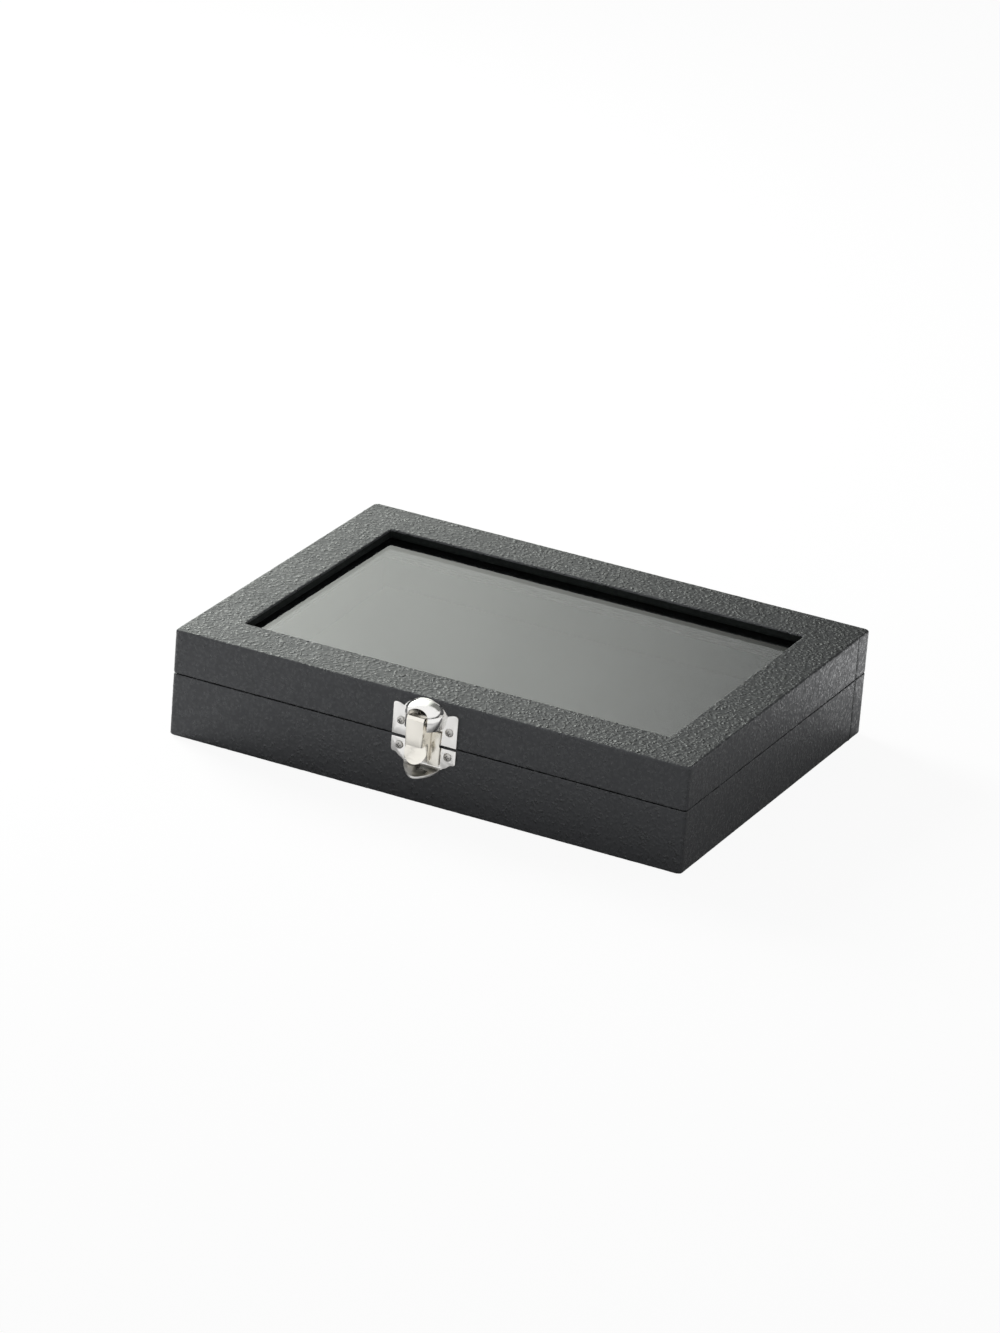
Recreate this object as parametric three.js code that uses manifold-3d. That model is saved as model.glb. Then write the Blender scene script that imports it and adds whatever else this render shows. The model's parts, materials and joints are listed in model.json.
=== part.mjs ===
// Jewelry display tray: a leatherette covered board tray with a hinged, glass topped lid,
// a swing hasp latch at the front and two stop hinges at the back.
// Millimetres, +Z up, X along the front, the front faces -Y, origin at the centre of the underside.

import * as THREE from 'three';
import { mergeVertices } from 'three/addons/utils/BufferGeometryUtils.js';
import Module from 'manifold-3d';

const wasm = await Module();
wasm.setup();

// Case
const caseLength = 213.36;
const caseDepth = 160.02;
const caseHeight = 43.18;
const lidHeight = 17.4;
const seamGap = 0.3;
const wrapThickness = 0.8;
const boardThickness = 9.2;
const cornerRadius = 1.6;
const edgeRadius = 0.6;

// Lid
const railThickness = 2.7;
const sideRailWidth = 16.7;
const endRailWidth = 19.7;
const windowEdgeRadius = 0.5;
const glassThickness = 2.5;
const glassCornerRadius = 1.5;
const lidLiningThickness = 2;
const lidLiningReveal = 0.8;

// Tray
const underCoverThickness = 0.5;
const underCoverInset = 3;
const floorThickness = 4;
const liningThickness = 1.6;
const liningReveal = 1;
const floorLiningThickness = 0.8;
const padBoardThickness = 1.8;
const padFoamThickness = 8.5;
const padCrown = 2.2;
const padSideDraw = 1.4;
const padClearance = 0.7;

// Fits
const fitGap = 0.3;
const glassClearance = 0.4;
const boreClearance = 0.15;
const cutOverrun = 1;

// Latch plates, with the depths measured out from the front face
// and the heights from the middle of the seam
const plateThickness = 0.8;
const plateHalfWidth = 13.3;
const plateCornerRadius = 1.1;
const plateSeamGap = 1.1;
const lidPlateShoulderRise = 13.3;
const lidPlateNotchDepth = 0.9;
const lidPlateArchHalfWidth = 9;
const lidPlateArchRise = 17.3;
const basePlateDrop = 6.5;
const chinRootDrop = 9.3;
const chinRootHalfWidth = 7.6;
const chinBendRadius = 2;
const chinBendDrop = 8.2;
const chinFlareDegrees = 76;
const chinReach = 8.5;
const chinBellyDepth = 5.3;
const chinBellyHalfWidth = 5.9;
const chinTipRound = 1.1;
const chinTipHalfWidth = 2.6;

// Latch hood: an upright half round shell that closes in a low dome
const hoodHalfWidth = 7.8;
const hoodDepth = 9.4;
const hoodDomeHeight = 4.4;
const hoodDomeRise = 12.7;
const hoodMouthRise = 7.3;
const hoodSlotClearance = 0.75;
const hoodSlotShoulderRise = 12.7;
const hoodSlotArchRise = 2.8;

// Latch hasp
const pivotRise = 8.8;
const latchPinRadius = 0.7;
const haspClearance = 0.5;
const haspSheet = 0.8;
const haspFlangeHalfWidth = 7;
const haspFlangeTopRise = 5.5;
const haspFlangeBottomDrop = 7.7;
const haspCornerRadius = 0.5;
const haspEarRadius = 3.4;
const haspBrowRadius = 1.5;
const haspBrowRise = 11.3;
const channelHalfWidth = 3.5;
const channelDepth = 9.4;
const channelEndRise = 1.3;
const catchCoverDepth = 4.8;
const catchCoverEndDrop = 5.9;
const tongueRootDepth = 6.9;
const tongueTipDepth = 9.3;
const tongueBendDrop = 2.2;
const tongueHalfWidth = 4.5;
const tongueTipDrop = 5.9;
const noseHalfWidth = 1.9;
const noseDepth = 3.3;
const noseTopDrop = 1.6;
const noseBottomDrop = 5.7;
const noseFaceHeight = 1.4;

// Screws
const screwHeadRadius = 1.7;
const screwHeadHeight = 0.75;
const screwShankRadius = 0.8;
const screwLength = 6.5;
const screwTipLength = 1.5;
const recessLength = 1.7;
const recessWidth = 0.6;
const recessDepth = 0.5;
const latchScrewOffset = 10;
const latchLidScrewRise = 6.2;
const latchBaseScrewDrop = 3.6;

// Hinges
const hingeSpacing = 120;
const hingeWidth = 24;
const leafHeight = 9.5;
const leafThickness = 0.8;
const leafCornerRadius = 1.2;
const knuckleRadius = 1.7;
const hingePinRadius = 0.8;
const hingePinHeadRadius = 1.25;
const hingePinHeadHeight = 0.6;
const hingeScrewInset = 4;
const hingeScrewRise = 5.7;
const stopHeelLength = 3.6;
const stopHeelThickness = 1.2;

// How finely curves are divided
const smallArcSteps = 4;
const arcSteps = 8;
const roundSteps = 20;
const hoodSteps = 32;
const screwSteps = 12;
const screwDomeSteps = 3;

// Levels
const lidTop = caseHeight;
const lidBottom = caseHeight - lidHeight;
const trayTop = lidBottom - seamGap;
const seamMiddle = (lidBottom + trayTop) / 2;
const railTop = lidTop - wrapThickness;
const railBottom = railTop - railThickness;
const glassBottom = railBottom - glassThickness;
const trayBottom = underCoverThickness;
const floorTop = trayBottom + floorThickness;
const floorLiningTop = floorTop + floorLiningThickness;
const padBoardTop = floorLiningTop + padBoardThickness;

// Where a hinge's screws stand, to the left and right of its middle
const hingeScrewOffset = hingeWidth / 2 - hingeScrewInset;

// Plan sizes, as distances from the middle of the case
const outerHalfX = caseLength / 2;
const outerHalfY = caseDepth / 2;
const boardHalfX = outerHalfX - wrapThickness;
const boardHalfY = outerHalfY - wrapThickness;
const innerHalfX = boardHalfX - boardThickness;
const innerHalfY = boardHalfY - boardThickness;
const railInnerHalfX = boardHalfX - sideRailWidth;
const railInnerHalfY = boardHalfY - endRailWidth;
const windowHalfX = railInnerHalfX - wrapThickness;
const windowHalfY = railInnerHalfY - wrapThickness;
const frontFace = -outerHalfY;
const backFace = outerHalfY;

// Finishes

function leatherette() {
  return new THREE.MeshStandardMaterial({ color: 0x38383a, roughness: 0.5, metalness: 0 });
}

function fibreboard() {
  return new THREE.MeshStandardMaterial({ color: 0x9a7b55, roughness: 0.9, metalness: 0 });
}

function velvet() {
  return new THREE.MeshStandardMaterial({ color: 0x101012, roughness: 1, metalness: 0 });
}

function card() {
  return new THREE.MeshStandardMaterial({ color: 0x2a2a2c, roughness: 0.9, metalness: 0 });
}

function glass() {
  const look = { color: 0xe4ece8, roughness: 0.05, metalness: 0, transparent: true, opacity: 0.35 };
  return new THREE.MeshStandardMaterial(look);
}

function nickel() {
  return new THREE.MeshStandardMaterial({ color: 0xd9d5cc, roughness: 0.2, metalness: 1 });
}

function steel() {
  return new THREE.MeshStandardMaterial({ color: 0xb4b4b2, roughness: 0.3, metalness: 1 });
}

// Solids from geometries, and geometries from solids

function toSolid(geometry) {
  const bare = geometry.clone();
  bare.deleteAttribute('normal');
  bare.deleteAttribute('uv');
  const merged = mergeVertices(bare);
  const vertProperties = new Float32Array(merged.attributes.position.array);
  const triVerts = new Uint32Array(merged.index.array);
  return new wasm.Manifold(new wasm.Mesh({ numProp: 3, vertProperties, triVerts }));
}

function toGeometry(solid) {
  const mesh = solid.getMesh();
  const geometry = new THREE.BufferGeometry();
  geometry.setAttribute('position', new THREE.BufferAttribute(mesh.vertProperties, mesh.numProp));
  geometry.setIndex(new THREE.BufferAttribute(mesh.triVerts, 1));
  geometry.computeVertexNormals();
  return geometry;
}

// A box between two corners
function block(low, high) {
  const size = high.map((value, axis) => value - low[axis]);
  const middle = high.map((value, axis) => (value + low[axis]) / 2);
  const geometry = new THREE.BoxGeometry(...size);
  geometry.translate(...middle);
  return toSolid(geometry);
}

function extrude(shape, length, steps) {
  const settings = { depth: length, bevelEnabled: false, curveSegments: steps };
  return new THREE.ExtrudeGeometry(shape, settings);
}

// A plan outline, drawn in X and Y, standing between two heights
function alongZ(shape, bottom, top, steps = smallArcSteps) {
  const geometry = extrude(shape, top - bottom, steps);
  geometry.translate(0, 0, bottom);
  return toSolid(geometry);
}

// A front view outline, drawn in X and Z, between two places on Y
function alongY(shape, front, back, steps = smallArcSteps) {
  const geometry = extrude(shape, back - front, steps);
  geometry.rotateX(Math.PI / 2);
  geometry.translate(0, back, 0);
  return toSolid(geometry);
}

// A side view profile, drawn in Y and Z, between two places on X
function alongX(shape, left, right, steps = smallArcSteps) {
  const geometry = extrude(shape, right - left, steps);
  geometry.rotateX(Math.PI / 2);
  geometry.rotateZ(Math.PI / 2);
  geometry.translate(left, 0, 0);
  return toSolid(geometry);
}

// A round bar on an axis along X
function barAlongX(radius, left, right, y, z, steps = roundSteps) {
  const geometry = new THREE.CylinderGeometry(radius, radius, right - left, steps);
  geometry.rotateZ(Math.PI / 2);
  geometry.translate((left + right) / 2, y, z);
  return toSolid(geometry);
}

// A round bar on an axis along Y
function barAlongY(radius, front, back, x, z, steps = screwSteps) {
  const geometry = new THREE.CylinderGeometry(radius, radius, back - front, steps);
  geometry.translate(0, (front + back) / 2, 0);
  const solid = toSolid(geometry);
  return solid.translate([x, 0, z]);
}

// Outlines

// A rectangle whose low corners and high corners may be rounded apart
function roundedRectangle(left, low, right, high, lowRadius, highRadius) {
  const shape = new THREE.Shape();
  shape.moveTo(left + lowRadius, low);
  shape.lineTo(right - lowRadius, low);
  if (lowRadius > 0) {
    shape.absarc(right - lowRadius, low + lowRadius, lowRadius, -Math.PI / 2, 0, false);
  }
  shape.lineTo(right, high - highRadius);
  if (highRadius > 0) {
    shape.absarc(right - highRadius, high - highRadius, highRadius, 0, Math.PI / 2, false);
  }
  shape.lineTo(left + highRadius, high);
  if (highRadius > 0) {
    shape.absarc(left + highRadius, high - highRadius, highRadius, Math.PI / 2, Math.PI, false);
  }
  shape.lineTo(left, low + lowRadius);
  if (lowRadius > 0) {
    shape.absarc(left + lowRadius, low + lowRadius, lowRadius, Math.PI, 1.5 * Math.PI, false);
  }
  return shape;
}

// The section of an opening that flares out round its top edge
function flaredOpening(halfWidth, bottom, top, radius) {
  const shape = new THREE.Shape();
  shape.moveTo(-halfWidth, bottom);
  shape.lineTo(halfWidth, bottom);
  shape.lineTo(halfWidth, top - radius);
  shape.absarc(halfWidth + radius, top - radius, radius, Math.PI, Math.PI / 2, true);
  shape.lineTo(halfWidth + radius, top + cutOverrun);
  shape.lineTo(-halfWidth - radius, top + cutOverrun);
  shape.lineTo(-halfWidth - radius, top);
  shape.absarc(-halfWidth - radius, top - radius, radius, Math.PI / 2, 0, true);
  return shape;
}

// Screw places: the latch plates at the front, the hinge leaves at the back

const sides = [
  { name: 'left', sign: -1 },
  { name: 'right', sign: 1 },
];

const latchLevels = [
  { name: 'upper', height: seamMiddle + latchLidScrewRise },
  { name: 'lower', height: seamMiddle - latchBaseScrewDrop },
];

const hingeLevels = [
  { name: 'lid', height: seamMiddle + hingeScrewRise },
  { name: 'base', height: seamMiddle - hingeScrewRise },
];

function screwPilots() {
  const radius = screwShankRadius + boreClearance;
  const reach = screwLength + boreClearance;
  const pilots = [];
  for (const { sign } of sides) {
    for (const { height } of latchLevels) {
      const bottom = frontFace + plateThickness + reach;
      pilots.push(barAlongY(radius, frontFace - cutOverrun, bottom, sign * latchScrewOffset, height));
    }
    for (const { height } of hingeLevels) {
      for (const place of [-hingeScrewOffset, hingeScrewOffset]) {
        const x = (sign * hingeSpacing) / 2 + place;
        const bottom = backFace - leafThickness - reach;
        pilots.push(barAlongY(radius, bottom, backFace + cutOverrun, x, height));
      }
    }
  }
  return wasm.Manifold.union(pilots);
}

const pilots = screwPilots();

// Tray: boards, wrap, linings, pad

const trayBoardBottom = trayBottom + wrapThickness;
const trayBoardTop = trayTop - wrapThickness;

function trayBoards() {
  const low = trayBoardBottom;
  const high = trayBoardTop;
  return {
    base_front_wall: block([-boardHalfX, -boardHalfY, low], [boardHalfX, -innerHalfY, high]),
    base_back_wall: block([-boardHalfX, innerHalfY, low], [boardHalfX, boardHalfY, high]),
    base_left_wall: block([-boardHalfX, -innerHalfY, low], [-innerHalfX, innerHalfY, high]),
    base_right_wall: block([innerHalfX, -innerHalfY, low], [boardHalfX, innerHalfY, high]),
  };
}

// A case section with rounded upright corners and softened top or bottom edges
function caseSection(bottom, top, bottomRadius, topRadius) {
  const plan = roundedRectangle(
    -outerHalfX, -outerHalfY, outerHalfX, outerHalfY, cornerRadius, cornerRadius,
  );
  const front = roundedRectangle(-outerHalfX, bottom, outerHalfX, top, bottomRadius, topRadius);
  const side = roundedRectangle(-outerHalfY, bottom, outerHalfY, top, bottomRadius, topRadius);
  const prism = alongZ(plan, bottom, top);
  const frontPrism = alongY(front, -outerHalfY, outerHalfY);
  const sidePrism = alongX(side, -outerHalfX, outerHalfX);
  return prism.intersect(frontPrism).intersect(sidePrism);
}

function insideSpace(bottom, top) {
  return block([-innerHalfX, -innerHalfY, bottom], [innerHalfX, innerHalfY, top]);
}

function trayWrap(boards) {
  let solid = caseSection(trayBottom, trayTop, edgeRadius, edgeRadius);
  solid = solid.subtract(insideSpace(trayBottom - cutOverrun, trayTop + cutOverrun));
  for (const board of Object.values(boards)) {
    solid = solid.subtract(board);
  }
  return solid.subtract(pilots);
}

function liningStrips(names, thickness, bottom, top) {
  const sideHalfY = innerHalfY - thickness;
  const cornerX = innerHalfX - thickness;
  return {
    [names.front]: block([-innerHalfX, -innerHalfY, bottom], [innerHalfX, -sideHalfY, top]),
    [names.back]: block([-innerHalfX, sideHalfY, bottom], [innerHalfX, innerHalfY, top]),
    [names.left]: block([-innerHalfX, -sideHalfY, bottom], [-cornerX, sideHalfY, top]),
    [names.right]: block([cornerX, -sideHalfY, bottom], [innerHalfX, sideHalfY, top]),
  };
}

function stripNames(part) {
  const names = {};
  for (const side of ['front', 'back', 'left', 'right']) {
    names[side] = `${part}_lining_${side}`;
  }
  return names;
}

const padHalfX = innerHalfX - liningThickness - padClearance;
const padHalfY = innerHalfY - liningThickness - padClearance;

// The velvet covered foam: crowned on top, drawn in at the middle of each side, flat below
function padFoam() {
  const columnCount = 22;
  const rowCount = 16;
  const layerCount = 4;
  const geometry = new THREE.BoxGeometry(
    2 * padHalfX, 2 * padHalfY, padFoamThickness, columnCount, rowCount, layerCount,
  );
  const places = geometry.attributes.position;
  for (let index = 0; index < places.count; index += 1) {
    const across = places.getX(index) / padHalfX;
    const along = places.getY(index) / padHalfY;
    const up = places.getZ(index) / padFoamThickness + 1 / 2;
    const bulge = Math.sin(Math.PI * up);
    const endDraw = padSideDraw * (1 - along ** 2) * (1 - bulge);
    const sideDraw = padSideDraw * (1 - across ** 2) * (1 - bulge);
    const crown = padCrown * (1 - across ** 4) * (1 - along ** 4);
    const x = across * (padHalfX - endDraw * Math.abs(across));
    const y = along * (padHalfY - sideDraw * Math.abs(along));
    const z = padBoardTop + up * (padFoamThickness + crown);
    places.setXYZ(index, x, y, z);
  }
  return toSolid(geometry);
}

// Lid: boards, top rails, wrap, glass, linings

const lidBoardBottom = lidBottom + wrapThickness;

function lidBoards() {
  const low = lidBoardBottom;
  const high = railBottom;
  return {
    lid_front_wall: block([-boardHalfX, -boardHalfY, low], [boardHalfX, -innerHalfY, high]),
    lid_back_wall: block([-boardHalfX, innerHalfY, low], [boardHalfX, boardHalfY, high]),
    lid_left_wall: block([-boardHalfX, -innerHalfY, low], [-innerHalfX, innerHalfY, high]),
    lid_right_wall: block([innerHalfX, -innerHalfY, low], [boardHalfX, innerHalfY, high]),
  };
}

function topRails() {
  const low = railBottom;
  const high = railTop;
  const endY = railInnerHalfY;
  return {
    lid_front_rail: block([-boardHalfX, -boardHalfY, low], [boardHalfX, -endY, high]),
    lid_back_rail: block([-boardHalfX, endY, low], [boardHalfX, boardHalfY, high]),
    lid_left_rail: block([-boardHalfX, -endY, low], [-railInnerHalfX, endY, high]),
    lid_right_rail: block([railInnerHalfX, -endY, low], [boardHalfX, endY, high]),
  };
}

// The window through the top, with softened upper edges
function windowCut() {
  const bottom = railBottom - cutOverrun;
  const across = flaredOpening(windowHalfX, bottom, lidTop, windowEdgeRadius);
  const along = flaredOpening(windowHalfY, bottom, lidTop, windowEdgeRadius);
  return alongY(across, -outerHalfY, outerHalfY).intersect(alongX(along, -outerHalfX, outerHalfX));
}

function lidWrap(boards, rails) {
  let solid = caseSection(lidBottom, lidTop, edgeRadius, edgeRadius);
  solid = solid.subtract(insideSpace(lidBottom - cutOverrun, railBottom));
  solid = solid.subtract(windowCut());
  for (const board of [...Object.values(boards), ...Object.values(rails)]) {
    solid = solid.subtract(board);
  }
  return solid.subtract(pilots);
}

function glassPane() {
  const halfX = innerHalfX - glassClearance;
  const halfY = innerHalfY - glassClearance;
  const outline = roundedRectangle(-halfX, -halfY, halfX, halfY, glassCornerRadius, glassCornerRadius);
  return alongZ(outline, glassBottom, railBottom);
}

// Screws: a domed head with a crossed recess on a pointed shank

// A screw that stands on y = 0 with its head towards -Y
function screwSolid() {
  const domePoints = [];
  for (let step = 0; step <= screwDomeSteps; step += 1) {
    const angle = (step / screwDomeSteps) * (Math.PI / 2);
    const radius = screwHeadRadius * Math.cos(angle);
    domePoints.push(new THREE.Vector2(radius, screwHeadHeight * Math.sin(angle)));
  }
  const profile = [
    new THREE.Vector2(0, -screwLength),
    new THREE.Vector2(screwShankRadius, screwTipLength - screwLength),
    new THREE.Vector2(screwShankRadius, 0),
    ...domePoints.slice(0, -1),
    new THREE.Vector2(0, screwHeadHeight),
  ];
  const geometry = new THREE.LatheGeometry(profile, screwSteps);
  const half = recessLength / 2;
  const halfWidth = recessWidth / 2;
  const floor = screwHeadHeight - recessDepth;
  const lip = screwHeadHeight + cutOverrun;
  let solid = toSolid(geometry);
  solid = solid.subtract(block([-half, floor, -halfWidth], [half, lip, halfWidth]));
  solid = solid.subtract(block([-halfWidth, floor, -half], [halfWidth, lip, half]));
  return solid.rotate([0, 0, 180]);
}

const screwGeometry = toGeometry(screwSolid());

// Latch, in a group whose y = 0 is the front face and whose z = 0 is the middle of the seam

const haspBack = plateThickness + haspClearance;
const pivotDepth = haspBack + haspEarRadius;
const hoodSlotHalfWidth = channelHalfWidth + hoodSlotClearance;
const lidPlateBottom = plateSeamGap / 2;
const basePlateTop = -plateSeamGap / 2;

// Round shoulders, and between them an arch that springs from two notches
function lidPlateOutline() {
  const radius = plateCornerRadius;
  const shoulder = lidPlateShoulderRise;
  const notch = shoulder - lidPlateNotchDepth;
  const rise = lidPlateArchRise - notch;
  const archRadius = (lidPlateArchHalfWidth ** 2 + rise ** 2) / (2 * rise);
  const archCentre = lidPlateArchRise - archRadius;
  const startAngle = Math.asin((notch - archCentre) / archRadius);
  const lobeX = (plateHalfWidth - radius + lidPlateArchHalfWidth) / 2;
  const shape = new THREE.Shape();
  shape.moveTo(-plateHalfWidth, lidPlateBottom);
  shape.lineTo(plateHalfWidth, lidPlateBottom);
  shape.lineTo(plateHalfWidth, shoulder - radius);
  shape.absarc(plateHalfWidth - radius, shoulder - radius, radius, 0, Math.PI / 2, false);
  shape.quadraticCurveTo(lobeX, shoulder, lidPlateArchHalfWidth, notch);
  shape.absarc(0, archCentre, archRadius, startAngle, Math.PI - startAngle, false);
  shape.quadraticCurveTo(-lobeX, shoulder, radius - plateHalfWidth, shoulder);
  shape.absarc(radius - plateHalfWidth, shoulder - radius, radius, Math.PI / 2, Math.PI, false);
  return shape;
}

// An oval column under a low dome, grown or shrunk by an offset
function hoodForm(offset, bottom) {
  const radius = hoodHalfWidth + offset;
  const depthShare = (hoodDepth + offset) / radius;
  const domeShare = (hoodDomeHeight + offset) / radius;
  const dome = new THREE.SphereGeometry(radius, hoodSteps, hoodSteps);
  dome.scale(1, depthShare, domeShare);
  dome.translate(0, 0, hoodDomeRise);
  const column = new THREE.CylinderGeometry(radius, radius, hoodDomeRise - bottom, hoodSteps);
  column.rotateX(Math.PI / 2);
  column.scale(1, depthShare, 1);
  column.translate(0, 0, (hoodDomeRise + bottom) / 2);
  const columnSolid = toSolid(column);
  const domeSpace = block(
    [-2 * hoodHalfWidth, -2 * hoodDepth, hoodDomeRise],
    [2 * hoodHalfWidth, 2 * hoodDepth, hoodDomeRise + hoodDepth],
  );
  return toSolid(dome).intersect(domeSpace).add(columnSolid);
}

function hoodSlotOutline() {
  const bottom = hoodMouthRise - cutOverrun;
  const shape = new THREE.Shape();
  shape.moveTo(-hoodSlotHalfWidth, bottom);
  shape.lineTo(hoodSlotHalfWidth, bottom);
  shape.lineTo(hoodSlotHalfWidth, hoodSlotShoulderRise);
  shape.absellipse(
    0, hoodSlotShoulderRise, hoodSlotHalfWidth, hoodSlotArchRise, 0, Math.PI, false, 0,
  );
  return shape;
}

function latchLidPlate() {
  const frontSpace = block(
    [-2 * hoodHalfWidth, -hoodDepth - cutOverrun, 0],
    [2 * hoodHalfWidth, -plateThickness / 2, hoodDomeRise + hoodDomeHeight + cutOverrun],
  );
  const sheet = alongY(lidPlateOutline(), -plateThickness, 0, arcSteps);
  const hollow = hoodForm(-plateThickness, hoodMouthRise - cutOverrun);
  const slot = alongY(hoodSlotOutline(), -hoodDepth - cutOverrun, 0, arcSteps);
  const hood = hoodForm(0, hoodMouthRise).intersect(frontSpace).subtract(hollow).subtract(slot);
  return sheet.add(hood).subtract(plateHoles(latchLidScrewRise));
}

function plateHoles(height) {
  const radius = screwShankRadius + boreClearance;
  const holes = [-latchScrewOffset, latchScrewOffset].map(
    (x) => barAlongY(radius, -plateThickness - cutOverrun, cutOverrun, x, height),
  );
  return wasm.Manifold.union(holes);
}

// The base plate's sheet from the side: upright, then bent out into the flared chin
function chinProfile() {
  const flare = THREE.MathUtils.degToRad(chinFlareDegrees);
  const bendEndY = -chinBendRadius * (1 - Math.cos(flare));
  const bendEndZ = -chinBendDrop - chinBendRadius * Math.sin(flare);
  const tipZ = bendEndZ - (chinReach + bendEndY) / Math.tan(flare);
  const faceY = -plateThickness * Math.cos(flare);
  const faceZ = plateThickness * Math.sin(flare);
  const innerRadius = chinBendRadius - plateThickness;
  const shape = new THREE.Shape();
  shape.moveTo(0, basePlateTop);
  shape.lineTo(-plateThickness, basePlateTop);
  shape.lineTo(-plateThickness, -chinBendDrop);
  shape.absarc(-chinBendRadius, -chinBendDrop, innerRadius, 0, -flare, true);
  shape.lineTo(faceY - chinReach, tipZ + faceZ);
  shape.lineTo(-chinReach, tipZ);
  shape.lineTo(bendEndY, bendEndZ);
  shape.absarc(-chinBendRadius, -chinBendDrop, chinBendRadius, -flare, 0, false);
  return shape;
}

// The base plate from the front: square shoulders drawn in by an ogee to the chin's root
function basePlateOutline() {
  const radius = plateCornerRadius;
  const shoulder = -basePlateDrop;
  const middleX = (plateHalfWidth - radius + chinRootHalfWidth) / 2;
  const middleZ = -(basePlateDrop + chinRootDrop) / 2;
  const bottom = -chinRootDrop - chinReach;
  const shape = new THREE.Shape();
  shape.moveTo(-plateHalfWidth, basePlateTop);
  shape.lineTo(-plateHalfWidth, shoulder + radius);
  shape.absarc(radius - plateHalfWidth, shoulder + radius, radius, Math.PI, 1.5 * Math.PI, false);
  shape.quadraticCurveTo(-middleX - radius, shoulder, -middleX, middleZ);
  shape.quadraticCurveTo(radius - middleX, -chinRootDrop + radius, -chinRootHalfWidth, -chinRootDrop);
  shape.lineTo(-chinRootHalfWidth, bottom);
  shape.lineTo(chinRootHalfWidth, bottom);
  shape.lineTo(chinRootHalfWidth, -chinRootDrop);
  shape.quadraticCurveTo(middleX - radius, -chinRootDrop + radius, middleX, middleZ);
  shape.quadraticCurveTo(middleX + radius, shoulder, plateHalfWidth - radius, shoulder);
  shape.absarc(plateHalfWidth - radius, shoulder + radius, radius, 1.5 * Math.PI, 2 * Math.PI, false);
  shape.lineTo(plateHalfWidth, basePlateTop);
  return shape;
}

// The base plate from above: the chin narrows over a slight belly to a round tip
function chinPlan() {
  const tip = -chinReach - chinTipRound;
  const tipSide = -chinReach + chinTipRound;
  const root = -plateThickness;
  const back = plateThickness + cutOverrun;
  const shape = new THREE.Shape();
  shape.moveTo(-plateHalfWidth - cutOverrun, back);
  shape.lineTo(-plateHalfWidth - cutOverrun, root);
  shape.lineTo(-chinRootHalfWidth, root);
  shape.quadraticCurveTo(-chinBellyHalfWidth, -chinBellyDepth, -chinTipHalfWidth, tipSide);
  shape.quadraticCurveTo(0, tip, chinTipHalfWidth, tipSide);
  shape.quadraticCurveTo(chinBellyHalfWidth, -chinBellyDepth, chinRootHalfWidth, root);
  shape.lineTo(plateHalfWidth + cutOverrun, root);
  shape.lineTo(plateHalfWidth + cutOverrun, back);
  return shape;
}

// The catch: a nose with a sloped top that fills the hasp's channel
function catchNose() {
  const shape = new THREE.Shape();
  shape.moveTo(-plateThickness / 2, -noseTopDrop);
  shape.lineTo(-plateThickness, -noseTopDrop);
  shape.lineTo(-noseDepth, noseFaceHeight - noseBottomDrop);
  shape.lineTo(-noseDepth, -noseBottomDrop);
  shape.lineTo(-plateThickness / 2, -noseBottomDrop);
  return alongX(shape, -noseHalfWidth, noseHalfWidth);
}

function latchBasePlate() {
  const reach = chinRootDrop + chinReach;
  const sheet = alongX(chinProfile(), -plateHalfWidth, plateHalfWidth, arcSteps);
  const front = alongY(basePlateOutline(), -reach, reach, arcSteps);
  const plan = alongZ(chinPlan(), -reach, reach, arcSteps);
  const plate = sheet.intersect(front).intersect(plan);
  return plate.add(catchNose()).subtract(plateHoles(-latchBaseScrewDrop));
}

// A hat section drawn in X and Y: two flanges, two side walls and a front, bent from one sheet
function hatOutline(halfWidth, depth, flangeHalfWidth) {
  const inside = halfWidth - haspSheet;
  const bend = haspCornerRadius;
  const back = -haspBack;
  const face = -haspBack - haspSheet;
  const shape = new THREE.Shape();
  shape.moveTo(-flangeHalfWidth, back);
  shape.lineTo(-flangeHalfWidth, face);
  shape.lineTo(-halfWidth, face);
  shape.lineTo(-halfWidth, bend - depth);
  shape.absarc(bend - halfWidth, bend - depth, bend, Math.PI, 1.5 * Math.PI, false);
  shape.lineTo(halfWidth - bend, -depth);
  shape.absarc(halfWidth - bend, bend - depth, bend, 1.5 * Math.PI, 2 * Math.PI, false);
  shape.lineTo(halfWidth, face);
  shape.lineTo(flangeHalfWidth, face);
  shape.lineTo(flangeHalfWidth, back);
  shape.lineTo(inside, back);
  shape.lineTo(inside, haspSheet - depth);
  shape.lineTo(-inside, haspSheet - depth);
  shape.lineTo(-inside, back);
  return shape;
}

// The head from the side: a round brow in front and round ears about the pin,
// joined by the line that touches both
function haspHeadProfile(offset) {
  const browY = haspBrowRadius - channelDepth;
  const browRadius = haspBrowRadius - offset;
  const earRadius = haspEarRadius - offset;
  const spacing = Math.hypot(pivotDepth + browY, haspBrowRise - pivotRise);
  const lean = Math.atan2(haspBrowRise - pivotRise, browY + pivotDepth);
  const touchAngle = lean - Math.acos((earRadius - browRadius) / spacing);
  const bottom = haspFlangeTopRise - haspSheet;
  const shape = new THREE.Shape();
  shape.moveTo(earRadius - pivotDepth, bottom);
  shape.lineTo(browY - browRadius, bottom);
  shape.lineTo(browY - browRadius, haspBrowRise);
  shape.absarc(browY, haspBrowRise, browRadius, Math.PI, touchAngle, true);
  shape.absarc(-pivotDepth, pivotRise, earRadius, touchAngle, 0, true);
  return shape;
}

// The thumb tongue from the front, a tab with a round end that hangs from the channel's end
function tongueOutline() {
  const top = channelEndRise + haspSheet;
  const centre = tongueHalfWidth - tongueTipDrop;
  const shape = new THREE.Shape();
  shape.moveTo(tongueHalfWidth, centre);
  shape.lineTo(channelHalfWidth, top);
  shape.lineTo(-channelHalfWidth, top);
  shape.lineTo(-tongueHalfWidth, centre);
  shape.absarc(0, centre, tongueHalfWidth, Math.PI, 2 * Math.PI, false);
  return shape;
}

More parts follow.
